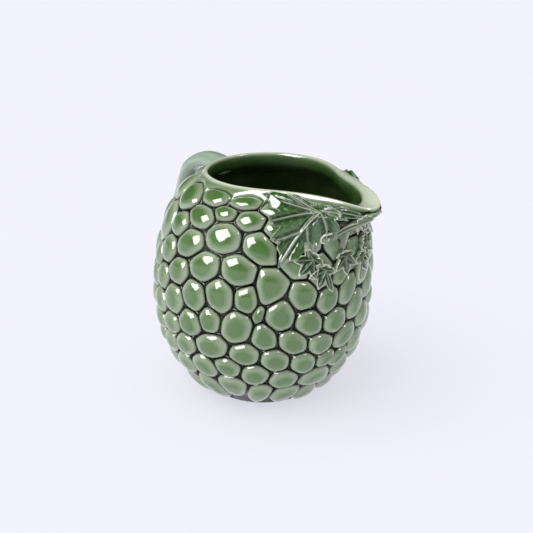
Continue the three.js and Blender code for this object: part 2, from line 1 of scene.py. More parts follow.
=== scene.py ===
# %% [markdown]
# # A grape jug
# This lesson dresses a packed jug: a slip-cast ceramic jug in the form of a bunch of green
# grapes, with a vine-branch handle and vine leaves under its beak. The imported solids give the
# sizes. Each of them is modelled again with bmesh operators, finer and rounder, and then glazed
# with node materials. A scan or a sculpt could give such a shape too, but a shape that is built
# from a few measurements can be read and changed.

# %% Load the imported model
import math
import bmesh
import bpy
from mathutils import Matrix, Vector


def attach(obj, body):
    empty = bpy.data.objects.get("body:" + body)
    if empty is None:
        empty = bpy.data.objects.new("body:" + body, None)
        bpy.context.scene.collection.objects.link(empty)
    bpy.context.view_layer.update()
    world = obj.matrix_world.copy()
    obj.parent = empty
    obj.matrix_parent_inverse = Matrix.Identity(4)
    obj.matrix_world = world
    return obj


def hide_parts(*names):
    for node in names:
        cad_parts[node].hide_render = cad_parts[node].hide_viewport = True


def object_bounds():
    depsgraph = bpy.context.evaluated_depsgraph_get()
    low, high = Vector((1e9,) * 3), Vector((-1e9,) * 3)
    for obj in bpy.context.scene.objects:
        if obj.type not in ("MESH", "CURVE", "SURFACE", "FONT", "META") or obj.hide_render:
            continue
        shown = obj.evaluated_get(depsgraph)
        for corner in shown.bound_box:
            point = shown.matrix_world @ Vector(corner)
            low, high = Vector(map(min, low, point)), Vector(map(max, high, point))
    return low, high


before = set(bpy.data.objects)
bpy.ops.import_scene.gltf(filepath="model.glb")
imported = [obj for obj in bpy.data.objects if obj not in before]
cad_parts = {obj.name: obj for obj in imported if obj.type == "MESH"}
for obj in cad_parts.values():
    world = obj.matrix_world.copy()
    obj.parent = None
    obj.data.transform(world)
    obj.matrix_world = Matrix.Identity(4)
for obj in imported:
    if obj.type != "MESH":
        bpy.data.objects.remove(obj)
cad_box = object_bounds()
print("packed nodes:", sorted(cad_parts))


# %% Helpers for objects and directions
def new_object(name, data):
    made = bpy.data.objects.new(name, data)
    bpy.context.scene.collection.objects.link(made)
    return made


def direction_of(azimuth, elevation):
    """A direction from an azimuth, counted from +X, and an elevation, in degrees."""
    az = math.radians(azimuth)
    el = math.radians(elevation)
    return Vector((math.cos(az) * math.cos(el), math.sin(az) * math.cos(el), math.sin(el)))


print("the beak points along", tuple(direction_of(0, 0)))

# %% [markdown]
# ## Camera
# The camera stands a little above the jug and looks down on it from the right of the beak. Its
# place is given by two angles and a distance, and a small shift puts the jug left of the middle.

# %% Camera
PHOTO_SIDE = 533
FOCAL_PIXELS = 966
AXIS_PIXEL = 262.5  # the jug's axis is at this column of the photograph
SENSOR = 36.0
AZIMUTH = 46  # from -Y towards +X
ELEVATION = 22
DISTANCE = 0.65
LOOK_AT = Vector((0, 0, 0.084))

camera_data = bpy.data.cameras.new("camera")
camera = new_object("camera", camera_data)
bpy.context.scene.camera = camera
camera_data.sensor_width = SENSOR
camera_data.lens = FOCAL_PIXELS / PHOTO_SIDE * SENSOR
camera_data.shift_x = (PHOTO_SIDE / 2 - AXIS_PIXEL) / PHOTO_SIDE
toward_camera = direction_of(AZIMUTH - 90, ELEVATION)
camera.location = LOOK_AT + DISTANCE * toward_camera
camera.rotation_euler = (-toward_camera).to_track_quat("-Z", "Y").to_euler()
print("camera at", tuple(round(v, 3) for v in camera.location))

# %% [markdown]
# ## The jug's outline
# Everything on this jug lies on one curved wall, so the wall comes first, as a formula. A place
# on it is an angle round the jug and a level. The angle is 0 at the beak and the level is counted
# in millimetres from the foot. A third number, the height, goes straight out of the wall. Pieces
# are then modelled flat, as on a map, and `on_wall` wraps them round the jug.

# %% Sizes of the body, in millimetres
MM = 0.001
RIM_HEIGHT = 153.5
BELLY_RADIUS = 74.2
BELLY_LEVEL = 70
FOOT_RADIUS = 41
FOOT_INSET = 2.5
FOOT_ROUNDING = 1.8
SHOULDER_TOP = RIM_HEIGHT + 2.5
SHOULDER_FULLNESS = 2.3
SHOULDER_TURN = 4
MOUTH_SHIFT = 5.5
MOUTH_RADIUS = 38.2
GRAPE_RELIEF = 4.6
WALL = 5
FLOOR = 6
RIM_THICKNESS = 3
BEAK_REACH = 50.5
BEAK_DEPTH = 31
BEAK_SOFTNESS = 0.15
BEAK_HALF_ANGLE = 17.2
BEAK_BLUNTNESS = 2.26
BEAK_DIP = 6
DIP_SHARPNESS = 7
BEAK_WALL = 9
LIP_FLARE = 12
print("the belly is", 2 * BELLY_RADIUS, "mm across")


# %% Helpers for numbers
def clamp(value, low, high):
    return max(low, min(high, value))


def wrapped(angle):
    """The angle in degrees, brought into -180..180."""
    return angle - 360 * round(angle / 360)


def chance(n):
    """A repeatable value from -1 to 1 for a number."""
    wave = math.sin(n * 12.9898) * 43758.5453
    return 2 * (wave - math.floor(wave)) - 1


def smooth(value):
    """A step from 0 to 1 that starts and ends gently."""
    t = clamp(value, 0, 1)
    return t * t * (3 - 2 * t)


print("chance(1) is", round(chance(1), 3))


# %% The wall's radius and lean
def envelope_radius(level):
    """Half an ellipse below the belly, and a fuller shoulder above it."""
    if level < BELLY_LEVEL:
        depth = BELLY_LEVEL / math.sqrt(1 - (FOOT_RADIUS / BELLY_RADIUS) ** 2)
        return BELLY_RADIUS * math.sqrt(1 - ((BELLY_LEVEL - level) / depth) ** 2)
    share = clamp((level - BELLY_LEVEL) / (SHOULDER_TOP - BELLY_LEVEL), 0, 0.995)
    return BELLY_RADIUS * (1 - share ** SHOULDER_FULLNESS) ** (1 / SHOULDER_TURN)


def lean(level):
    """The upper body leans towards the beak."""
    share = clamp((level - BELLY_LEVEL) / (RIM_HEIGHT - BELLY_LEVEL), 0, 1.1)
    return MOUTH_SHIFT * share ** 1.1


print("the belly's radius is", round(envelope_radius(BELLY_LEVEL), 1), "mm")


# %% The beak, pulled out of the wall
def beak_climb(level):
    return clamp((level - RIM_HEIGHT + BEAK_DEPTH) / BEAK_DEPTH, 0, 1)


def beak_share(angle):
    return 1 / (1 + abs(wrapped(angle) / BEAK_HALF_ANGLE) ** BEAK_BLUNTNESS)


def outer_reach(level):
    """A keel that leaves the wall softly and then runs straight to the tip."""
    climb = math.hypot(beak_climb(level), BEAK_SOFTNESS) - BEAK_SOFTNESS
    return BEAK_REACH * climb / (math.hypot(1, BEAK_SOFTNESS) - BEAK_SOFTNESS)


def inner_reach(radius, level):
    keel = envelope_radius(level) + outer_reach(level)
    return clamp(keel - BEAK_WALL - radius, 0, BEAK_REACH - LIP_FLARE)


print("the beak reaches", round(outer_reach(RIM_HEIGHT), 1), "mm out of the wall")

# %% Places on the wall
ANGLE_STEP = 0.5
LEVEL_STEP = 0.4


def relief(angle, level):
    """Depth of the grooves, which run out on the beak."""
    return GRAPE_RELIEF * (1 - 0.5 * beak_share(angle) * beak_climb(level) ** 0.5)


def turned(angle, radius, level, reach):
    """A point at a radius from the leaning axis, pushed out by the beak."""
    share = beak_share(angle)
    out = radius + reach * share
    a = math.radians(angle)
    dip = BEAK_DIP * share ** DIP_SHARPNESS * beak_climb(level) ** 2
    return Vector((lean(level) + out * math.cos(a), out * math.sin(a), level - dip))


def skin(angle, level):
    return turned(angle, envelope_radius(level), level, outer_reach(level))


def on_wall(angle, level, height):
    """The point, in metres, that stands so high over the wall at an angle and a level."""
    across = skin(angle + ANGLE_STEP, level) - skin(angle - ANGLE_STEP, level)
    along = skin(angle, level + LEVEL_STEP) - skin(angle, level - LEVEL_STEP)
    return (skin(angle, level) + across.cross(along).normalized() * height) * MM


print("the beak's tip is at", tuple(round(v, 4) for v in on_wall(0, RIM_HEIGHT, 0)))

# %% Distance along the wall, from the foot up
ARC_STEP = 0.5
arcs = [0]
while len(arcs) * ARC_STEP <= SHOULDER_TOP - 2:
    level = len(arcs) * ARC_STEP
    narrowing = envelope_radius(level) - envelope_radius(level - ARC_STEP)
    arcs.append(arcs[-1] + math.hypot(narrowing, ARC_STEP))


def arc_at(level):
    return arcs[clamp(math.floor(level / ARC_STEP + 0.5), 0, len(arcs) - 1)]


def level_at(arc):
    above = next((k for k, value in enumerate(arcs) if value >= arc), None)
    if above is None:
        return (len(arcs) - 1) * ARC_STEP
    if above == 0:
        return 0
    share = (arc - arcs[above - 1]) / (arcs[above] - arcs[above - 1])
    return (above - 1 + share) * ARC_STEP


print("the wall is", round(arcs[-1]), "mm long from foot to shoulder")

# %% [markdown]
# ## Finishing a piece
# A piece is a bmesh until it is done. Two numbers are kept on each of its points for the glaze.
# The first marks where wet glaze ran together and fired dark, and it also carries painted shade:
# deep in the grooves, inside the jug and on the foot. The second, `thin`, marks where the glaze
# drained off an edge and fired pale. The helper turns the bmesh into an object, rounds it with a
# Subdivision Surface if it is coarse, and hands it to the frame: it rides on the body and replaces
# the imported solid of the same name.


# %% Helpers for pieces
def new_piece_mesh(*more):
    bm = bmesh.new()
    for key in ("pool_and_shade", "thin") + more:
        bm.verts.layers.float.new(key)
    return bm


def mesh_from(bm, name, material):
    mesh = bpy.data.meshes.new(name)
    bm.to_mesh(mesh)
    bm.free()
    mesh.materials.append(material)
    return mesh


def finish_piece(bm, name, material, rounds):
    bmesh.ops.recalc_face_normals(bm, faces=bm.faces)
    mesh = mesh_from(bm, name, material)
    mesh.shade_smooth()
    piece = new_object(name + "_glazed", mesh)
    if rounds:
        modifier = piece.modifiers.new("rounding", "SUBSURF")
        modifier.levels = rounds
        modifier.render_levels = rounds
    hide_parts(name)
    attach(piece, "root")
    print(name, "has", len(mesh.polygons), "faces before rounding")


# %% [markdown]
# ## The glaze
# The green is a clear coloured glaze over pale clay. It is dark where it lies thick, in the
# grooves, and pale where it is thin, on the edges. The dark colour is also painted shade, deep in
# the grooves, inside the jug and on the foot. A photograph could be painted on, but the colour
# would then belong to one view. Here it follows the shape: the node group mixes three colours by
# the number for pooled glaze and painted shade and the number for thin glaze, and stirs them with
# a little noise.


# %% Helpers for colours and nodes
def linear(red, green, blue):
    """An sRGB colour in 0..255 as the linear colour that shaders read."""
    parts = [c / 255 for c in (red, green, blue)]
    return tuple(((c + 0.055) / 1.055) ** 2.4 if c > 0.04045 else c / 12.92 for c in parts) + (1,)


def node(tree, kind, place, **settings):
    made = tree.nodes.new(kind)
    made.location = place
    for key, value in settings.items():
        setattr(made, key, value)
    return made


def fill(tree, made, values):
    """Gives inputs of a node their links or plain values, by name or number."""
    for key, value in values.items():
        if isinstance(value, bpy.types.NodeSocket):
            tree.links.new(value, made.inputs[key])
        else:
            made.inputs[key].default_value = value
    return made


def maths(tree, place, operation, *values, use_clamp=False):
    made = node(tree, "ShaderNodeMath", place, operation=operation, use_clamp=use_clamp)
    return fill(tree, made, dict(enumerate(values))).outputs[0]


def mix_colours(tree, place, factor, first, second):
    made = node(tree, "ShaderNodeMix", place, data_type="RGBA")
    return fill(tree, made, {"Factor": factor, "A": first, "B": second}).outputs["Result"]


def noise(tree, place, coordinates, scale, detail):
    made = node(tree, "ShaderNodeTexNoise", place)
    values = {"Vector": coordinates, "Scale": scale, "Detail": detail}
    return fill(tree, made, values).outputs["Fac"]


print("mid green is", tuple(round(c, 3) for c in linear(82, 120, 56)))

# %% Node group for pooled glaze and painted shade
CLOUD_SCALE = 42
RIPPLE_SCALE = 130


def add_sockets(group, way, kind, names):
    for name in names:
        group.interface.new_socket(name, in_out=way, socket_type=kind)


def make_glaze_group():
    group = bpy.data.node_groups.new("pooled_glaze_and_shade", "ShaderNodeTree")
    add_sockets(group, "INPUT", "NodeSocketColor", ("Even Colour", "Pooled and Shaded Colour", "Thin Colour"))
    add_sockets(group, "INPUT", "NodeSocketFloat", ("Pool_and_shade", "Thin", "Cloudiness"))
    add_sockets(group, "OUTPUT", "NodeSocketColor", ("Colour",))
    add_sockets(group, "OUTPUT", "NodeSocketFloat", ("Gloss", "Height"))
    given = node(group, "NodeGroupInput", (-900, 0)).outputs
    leave = node(group, "NodeGroupOutput", (900, 0))
    place = node(group, "ShaderNodeTexCoord", (-900, -300)).outputs["Object"]
    clouds = noise(group, (-700, -300), place, CLOUD_SCALE, 4)
    drift = maths(group, (-500, -300), "SUBTRACT", clouds, 0.5)
    spread = maths(group, (-320, -300), "MULTIPLY", drift, given["Cloudiness"])
    # the dark mix: pooled glaze, and painted shade in the grooves, leaf furrows, inside and foot
    pool_and_shade = maths(group, (-120, 160), "ADD", given["Pool_and_shade"], spread, use_clamp=True)
    thin = maths(group, (120, -120), "SUBTRACT", given["Thin"], spread, use_clamp=True)
    pooled_and_shaded = mix_colours(group, (120, 160), pool_and_shade, given["Even Colour"], given["Pooled and Shaded Colour"])
    thinned = mix_colours(group, (360, 60), thin, pooled_and_shaded, given["Thin Colour"])
    gloss = maths(group, (360, -220), "SUBTRACT", 1, given["Pool_and_shade"], use_clamp=True)
    ripple = noise(group, (-700, -560), place, RIPPLE_SCALE, 2)
    fill(group, leave, {"Colour": thinned, "Gloss": gloss, "Height": ripple})
    return group


pooled_glaze_and_shade = make_glaze_group()
print("the glaze group has", len(pooled_glaze_and_shade.nodes), "nodes")


# %% Glaze materials
def glaze_material(name, even, pooled_and_shaded, thin, cloudiness):
    material = bpy.data.materials.new(name)
    material.use_nodes = True
    tree = material.node_tree
    glaze = node(tree, "ShaderNodeGroup", (-400, 0), node_tree=pooled_glaze_and_shade)
    fill(tree, glaze, {
        "Even Colour": even, "Pooled and Shaded Colour": pooled_and_shaded, "Thin Colour": thin, "Cloudiness": cloudiness,
    })
    for key, up in (("pool_and_shade", 100), ("thin", -100)):
        reader = node(tree, "ShaderNodeAttribute", (-700, up), attribute_name=key)
        fill(tree, glaze, {key.capitalize(): reader.outputs["Fac"]})
    bump = node(tree, "ShaderNodeBump", (-200, -300))
    fill(tree, bump, {"Strength": 0.12, "Distance": 0.0004, "Height": glaze.outputs["Height"]})
    fill(tree, tree.nodes["Principled BSDF"], {
        "Roughness": 0.12, "IOR": 1.45, "Coat Roughness": 0.03, "Coat IOR": 1.6,
        "Base Color": glaze.outputs["Colour"], "Coat Weight": glaze.outputs["Gloss"],
        "Normal": bump.outputs["Normal"],
    })
    return material


THIN_GREEN = linear(222, 230, 204)
# near black: pooled glaze, and painted shade in the grooves, inside the jug and on the foot; the
# leaf's dark green is the same
POOLED_AND_SHADED_GREEN = linear(6, 18, 8)
grape_glaze = glaze_material("grape_glaze", linear(82, 120, 56), POOLED_AND_SHADED_GREEN, THIN_GREEN, 0.25)
leaf_glaze = glaze_material("leaf_glaze", linear(60, 104, 40), linear(5, 26, 4), THIN_GREEN, 0.08)
branch_glaze = glaze_material(
    "branch_glaze", linear(164, 184, 160), linear(112, 142, 108), linear(212, 220, 206), 0.4,
)
print("three glazes")

# %% [markdown]
# ## Grapes
# The casting's mould was carved grape by grape, so no two are alike, but they lie in courses.
# Seen flat they are cells that share their grooves, like a net of rough hexagons. Spheres pushed
# into a pot would cross in thin sharp lines. A net of cells keeps the rounded grooves that hold
# the dark glaze, so the net is laid out first: the courses give the middles of the grapes, and
# each corner of the net lies between three neighbours.

# %% Courses of grapes
# Level as a share of the rim's height, number, angle of one grape, rise and crowding
COURSES = [
    (0.112, 20, -81.2, 0.14, -1),
    (0.202, 20, -82.2, 0.56, -2),
    (0.304, 23, -102.4, 0.49, 3.8),
    (0.41, 24, -85.8, 0.58, -2),
    (0.522, 23, -98.7, 0.9, -1.2),
    (0.644, 22, -91.7, 0.97, 4.3),
    (0.738, 21, -85.3, 1, 6.3),
    (0.873, 21, -105.5, 0.7, -2),
    (0.961, 14, -113, 0, 0),
]
TINY_GRAPE = {"course": 4, "angle": -47, "level": 0.521 * RIM_HEIGHT, "size": 0.45}
COLLAR_WIDTH = 1.7
BEAK_COLLAR = 2
FOOT_SINK = 11
FOOT_STOP = -1
LOW_GRAPE = 0.62  # share of its height that a grape keeps under a leaf
print(len(COURSES), "courses of grapes")

# %% Middles of the grapes
COURSE_RISE = 14.3
COURSE_WAVES = 3  # a course rises and falls so many times on its way round
RISE_ANGLE = -66
SCATTER = 1
SIZE_SCATTER = 0.12


def course_of(course):
    level, count, start, rise, crowd = COURSES[course]
    middles = []
    for k in range(count):
        even = start + 360 * k / count
        phase = math.radians(COURSE_WAVES * (even - RISE_ANGLE))
        seed = 40 * course + k
        angle = even + crowd * math.sin(phase)
        angle += math.degrees(SCATTER / BELLY_RADIUS) * chance(seed)
        raised = RIM_HEIGHT * level + COURSE_RISE * rise * math.cos(phase)
        raised += SCATTER * chance(seed + 0.5)
        size = 1 + SIZE_SCATTER * chance(seed + 0.25)
        middles.append({"angle": wrapped(angle), "level": raised, "size": size, "grape": True})
    if course == TINY_GRAPE["course"]:
        middles.append({**TINY_GRAPE, "grape": True})
    return sorted(middles, key=lambda m: m["angle"])


def plain_ring(level, count):
    angles = [-180 + 360 * (k + 0.5) / count for k in range(count)]
    return [{"angle": a, "level": level, "size": 1, "grape": False} for a in angles]


print("the first grape stands at", round(course_of(0)[0]["angle"], 1), "degrees")

# %% Rings of the net
rings = [plain_ring(-FOOT_SINK, COURSES[0][1])]
rings += [course_of(course) for course in range(len(COURSES))]
rings += [plain_ring(RIM_HEIGHT + COLLAR_WIDTH / 2, COURSES[-1][1] + 3)]
grapes = [middle for ring in rings for middle in ring if middle["grape"]]
print(len(grapes), "grapes in", len(COURSES), "courses")


# %% Neighbours in the net
def spacing(a, b):
    radius = envelope_radius((a["level"] + b["level"]) / 2)
    across = math.radians(wrapped(a["angle"] - b["angle"])) * radius
    return math.hypot(across, arc_at(a["level"]) - arc_at(b["level"]))


def trios(lower, upper):
    """Pairs two rings that run the same way round, always over the shorter diagonal."""
    i = 0
    j = min(range(len(upper)), key=lambda k: spacing(lower[0], upper[k]))
    lower_steps = 0
    upper_steps = 0
    while lower_steps < len(lower) or upper_steps < len(upper):
        next_lower = lower[(i + 1) % len(lower)]
        next_upper = upper[(j + 1) % len(upper)]
        up_is_shorter = spacing(lower[i], next_upper) < spacing(next_lower, upper[j])
        if lower_steps == len(lower) or (upper_steps < len(upper) and up_is_shorter):
            yield lower[i], next_upper, upper[j]
            j = (j + 1) % len(upper)
            upper_steps += 1
        else:
            yield lower[i], next_lower, upper[j]
            i = (i + 1) % len(lower)
            lower_steps += 1


print(len(list(trios(rings[1], rings[2]))), "corners between the two lowest courses")


# %% Corners of the net
def corner_of(trio):
    total = sum(1 / m["size"] for m in trio)
    first = trio[0]["angle"]
    turn = sum(wrapped(m["angle"] - first) / m["size"] for m in trio) / total
    level = sum(m["level"] / m["size"] for m in trio) / total
    angle = wrapped(first + turn)
    merging = level > BELLY_LEVEL and not all(m["grape"] for m in trio)
    level = clamp(level, FOOT_STOP, RIM_HEIGHT - COLLAR_WIDTH - BEAK_COLLAR * beak_share(angle))
    return {"angle": angle, "level": level, "merging": merging}


for grape in grapes:
    grape["corners"] = []
for lower, upper in zip(rings, rings[1:]):
    for trio in trios(lower, upper):
        corner = corner_of(trio)
        for middle in trio:
            if middle["grape"]:
                middle["corners"].append(corner)


def bearing(grape, corner):
    across = math.radians(wrapped(corner["angle"] - grape["angle"])) * BELLY_RADIUS
    return math.atan2(arc_at(corner["level"]) - arc_at(grape["level"]), across)


for grape in grapes:
    grape["corners"].sort(key=lambda corner: bearing(grape, corner))
counts = [len(grape["corners"]) for grape in grapes]
print("a grape has", min(counts), "to", max(counts), "corners")

# %% [markdown]
# ## Leaf outlines
# The leaves are laid out before the body is built, because a grape that lies under a leaf has no
# dome: the mould had none there. A leaf is a hub, a middle vein and some lobes. Its outline is a
# distance from the hub for each direction, so it can be written as one small function.

# %% Leaves of the spray
# A lobe is its vein's angle off the middle one, its length and its half width.
FIVE_LOBES = [(0, 1, 30), (48, 0.95, 28), (-48, 0.95, 28), (100, 0.66, 34), (-100, 0.66, 34)]
DROP_LOBES = [(0, 1, 30), (-48, 0.95, 28), (42, 1.35, 13), (100, 0.66, 34), (-100, 0.66, 34)]
LONG_LEAF = [(0, 1, 30), (34, 0.72, 26), (-34, 0.72, 26)]
HANGING_LEAF = [(0, 1, 24), (27, 0.93, 22), (-27, 0.93, 22)]
SPREAD_LEAF = [
    (0, 1, 24), (24, 0.76, 22), (50, 0.66, 26),
    (-19, 0.86, 20), (-42, 0.78, 22), (-73, 0.86, 24), (-97, 0.5, 26),
]
LEAF_SIZE = 43


def leaf_plan(angle, level, size, points, lobes, heart, teeth):
    """A leaf's hub on the wall, its size, where its middle vein points, and its outline."""
    return {
        "angle": angle, "level": RIM_HEIGHT * level, "size": LEAF_SIZE * size, "points": points,
        "lobes": lobes, "heart": heart, "teeth": teeth,
    }


LEAVES = {
    "beak_leaf": leaf_plan(0, 0.938, 0.7, -90, HANGING_LEAF, 0.3, 18),
    "bud_leaf": leaf_plan(0, 0.73, 0.28, -90, FIVE_LOBES, 0.34, 15),
    "rim_leaf": leaf_plan(-17.5, 0.951, 0.4, 4, LONG_LEAF, 0.34, 24),
    "vine_leaf": leaf_plan(-18, 0.945, 1, -123, SPREAD_LEAF, 0.2, 30),
    "small_leaf": leaf_plan(-20, 0.75, 0.31, -135, FIVE_LOBES, 0.34, 15),
    "lower_leaf": leaf_plan(-13.5, 0.697, 0.28, -115, DROP_LOBES, 0.34, 15),
}
vine_leaf = LEAVES["vine_leaf"]
print("leaves:", ", ".join(LEAVES))


# %% A leaf's outline, and its places on the wall
LEAF_STOP = 0.9  # a leaf's edge stays so far under the rim
PACKED_NARROWING = 0.62
PACKED_POINTING = 0.9


def leaf_radius(leaf, turn, narrowing=PACKED_NARROWING, pointing=PACKED_POINTING):
    reach = leaf["heart"]
    for vein, length, width in leaf["lobes"]:
        off = abs(wrapped(turn - vein)) / width
        reach = max(reach, length * (1 - narrowing * off ** pointing))
    return leaf["size"] * reach


def chart_radius(leaf):
    return envelope_radius(leaf["level"]) + outer_reach(leaf["level"]) * beak_share(leaf["angle"])


def beside_hub(leaf, across, up):
    """Angle and level of the place so many millimetres across and up from a leaf's hub."""
    level = level_at(arc_at(leaf["level"]) + up)
    angle = leaf["angle"] + math.degrees(across / chart_radius(leaf))
    return angle, min(level, RIM_HEIGHT - LEAF_STOP)


print("the large leaf is", round(leaf_radius(vine_leaf, 0)), "mm from hub to point")

# %% Grapes under leaves and on the plain beak
PLAIN_BEAK = 0.16
LEAF_MARGIN = 1


def covers(leaf, grape, margin):
    across = -math.radians(leaf["angle"] + abs(grape["angle"])) * chart_radius(leaf)
    up = arc_at(grape["level"]) - arc_at(leaf["level"])
    turn = wrapped(math.degrees(math.atan2(up, across)) - leaf["points"])
    return math.hypot(across, up) < leaf_radius(leaf, turn) + margin


def on_plain_beak(grape):
    return beak_share(grape["angle"]) * beak_climb(grape["level"]) > PLAIN_BEAK


def under_leaves(grape):
    return any(covers(leaf, grape, LEAF_MARGIN) for leaf in LEAVES.values())


print(sum(under_leaves(g) for g in grapes), "grapes lie under leaves")

# %% Sizes of the handle
HANDLE_WIDTH = 17.2
HANDLE_THICKNESS = 11.6
HANDLE_TOP = RIM_HEIGHT - 5.1
HANDLE_REACH = BELLY_RADIUS + 17.3
HANDLE_FOOT_LEVEL = 52
HANDLE_SEAT = 3


def under_handle(grape):
    off = math.radians(abs(wrapped(grape["angle"] - 180))) * envelope_radius(grape["level"])
    near_top = grape["level"] > HANDLE_TOP - HANDLE_THICKNESS
    near_foot = abs(grape["level"] - HANDLE_FOOT_LEVEL) < HANDLE_THICKNESS
    return off < HANDLE_WIDTH / 2 + HANDLE_SEAT and (near_top or near_foot)


print(sum(under_handle(g) for g in grapes), "grapes lie under the handle")

# %% [markdown]
# ## The body
# The net is laid out flat, with the angle along X and the level along Y, and a bmesh operator
# insets each cell. The inner copy is scaled about its middle and lifted, four times over, which
# makes a dome whose sides are steep and whose top is gently round. Heights are shares of the
# grapes' relief, from -1 in a packed groove to 0 on a grape's top. Then the sheet is wrapped round
# the jug and the two ends of the map are merged.

# %% Domes on the flat net
DOME = [  # scale, height, pooled glaze and painted shade, thin glaze
    (0.95, 0.12, 0.95, 0.0),
    (0.88, 0.42, 0.25, 0.5),
    (0.72, 0.70, 0.0, 0.27),
    (0.44, 0.91, 0.0, 0.0),
]
DOME_TOP = 0.99
GROOVE_DEPTH = 1.2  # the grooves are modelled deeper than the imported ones
MERGING_DEPTH = 0.35
SAME_CORNER = 0.001


def new_corner(bm, corner, start):
    """A point of the net: dark with pooled glaze and painted shade in a groove, pale where the
    grapes merge into the collar.
    """
    angle = start + wrapped(corner["angle"] - start)
    height = -MERGING_DEPTH if corner["merging"] else -GROOVE_DEPTH
    vert = bm.verts.new((angle, corner["level"], height))
    if corner["merging"]:
        vert[thin] = 0.3
    elif on_plain_beak(corner):
        vert[pool_and_shade] = 0.5
    else:
        vert[pool_and_shade] = 1.0
    return vert


body = new_piece_mesh()
pool_and_shade = body.verts.layers.float["pool_and_shade"]
thin = body.verts.layers.float["thin"]
domes = []
low_domes = []
beds = []
for grape in grapes:
    face = body.faces.new([new_corner(body, c, grape["angle"]) for c in grape["corners"]])
    if on_plain_beak(grape) or under_handle(grape):
        beds.append(face)
    elif under_leaves(grape):
        low_domes.append(face)
    else:
        domes.append(face)
bmesh.ops.remove_doubles(body, verts=body.verts, dist=SAME_CORNER)
bmesh.ops.subdivide_edges(body, edges=body.edges, cuts=1)
print(len(domes), "domes,", len(low_domes), "low domes and", len(beds), "beds")


# %% Raise the domes
def raise_ring(bm, face, scale, height, pooled_and_shaded, thinned):
    """Insets one face, scales the inner copy about its middle and lifts it to a height."""
    middle = face.calc_center_median()
    bmesh.ops.inset_individual(bm, faces=[face], thickness=0, depth=0)
    bmesh.ops.scale(
        bm, vec=(scale, scale, 1), space=Matrix.Translation(-middle), verts=face.verts,
    )
    for vert in face.verts:
        vert.co.z = height - 1
        vert[pool_and_shade] = pooled_and_shaded
        vert[thin] = thinned


def raise_domes(bm, faces, fullness):
    for face in faces:
        previous = 1.0
        for scale, height, pooled_and_shaded, thinned in DOME:
            raise_ring(bm, face, scale / previous, height * fullness, pooled_and_shaded, thinned)
            previous = scale
    tops = bmesh.ops.poke(bm, faces=faces)["verts"]
    for vert in tops:
        vert.co.z = DOME_TOP * fullness - 1
        vert[pool_and_shade] = 0
        vert[thin] = 0
    print(len(tops), "grape tops at", fullness, "of the full height")


raise_domes(body, domes, 1)
raise_domes(body, low_domes, LOW_GRAPE)

# %% [markdown]
# The sheet gets more points near the beak, in its beds and grooves, so that it follows the beak
# closely when it is wrapped. Dividing all of it would give far more points than it needs.

# %% Refine the beds, then wrap the sheet round the jug
NEAR_BEAK_ANGLE = 55
NEAR_BEAK_LEVEL = 95
LOW_SHARE = -0.45  # beds, grooves and the lower flanks of domes lie below this
SEAM_GAP = 0.02


def lies_near_beak(vert):
    angle, level, height = vert.co
    return height <= LOW_SHARE and abs(angle) < NEAR_BEAK_ANGLE and level > NEAR_BEAK_LEVEL


bmesh.ops.poke(body, faces=beds)
near_beak = [edge for edge in body.edges if all(lies_near_beak(v) for v in edge.verts)]
bmesh.ops.subdivide_edges(body, edges=near_beak, cuts=1, use_grid_fill=True)
for vert in body.verts:
    angle, level, height = vert.co
    vert.co = on_wall(angle, level, height * relief(angle, level))
bmesh.ops.remove_doubles(body, verts=body.verts, dist=SEAM_GAP * MM)
print("the wrapped sheet has", len(body.faces), "faces")


# %% Open edges of the sheet, at the foot and at the collar
def open_edges(bm, low, high):
    return [
        e for e in bm.edges
        if e.is_boundary and low * MM < (e.verts[0].co.z + e.verts[1].co.z) / 2 < high * MM
    ]


def plain_place(vert, radius, level, reach):
    """Moves a point to a plain ring of the jug, at its own angle round the leaning axis."""
    was = vert.co / MM
    angle = math.degrees(math.atan2(was.y, was.x - lean(was.z)))
    vert.co = turned(angle, radius, level, reach) * MM


foot_edges = open_edges(body, 0, 30)
collar_edges = open_edges(body, 120, 160)
print(len(foot_edges), "edges at the foot and", len(collar_edges), "at the collar")


# %% [markdown]
# ## Rim, inside and foot
# These are plain turned surfaces, pulled out at the beak, so the easy way is to extrude the open
# edge of the sheet ring by ring. A spin would do for a round jug, but this mouth has a beak.

# %% Extrude the rim and the inside
def extruded(bm, edges):
    """The new points and the new edges."""
    made = bmesh.ops.extrude_edge_only(bm, edges=edges)["geom"]
    points = [item for item in made if isinstance(item, bmesh.types.BMVert)]
    return points, [item for item in made if isinstance(item, bmesh.types.BMEdge)]


def extrude_ring(bm, edges, radius, level, reach, pooled_and_shaded, thinned):
    points, ring_edges = extruded(bm, edges)
    for vert in points:
        plain_place(vert, radius, level, reach)
        vert[pool_and_shade] = pooled_and_shaded
        vert[thin] = thinned
    return ring_edges


INSIDE_LEVELS = (149, 144, 137, 127, 113, 96, 78, 60, 43, 28, 16)


def inner_profile():
    """Radius and level of the inside, a wall's thickness in from the grooves."""
    depth = GRAPE_RELIEF + WALL
    profile = [(MOUTH_RADIUS, RIM_HEIGHT - 5), (MOUTH_RADIUS, RIM_HEIGHT - 9)]
    for level in INSIDE_LEVELS:
        slope = envelope_radius(level + 0.5) - envelope_radius(level - 0.5)
        length = math.hypot(slope, 1)
        profile.append((envelope_radius(level) - depth / length, level + depth * slope / length))
    return profile + [(FOOT_RADIUS - 1, FLOOR + 5), (FOOT_RADIUS - 8, FLOOR), (12, FLOOR)]


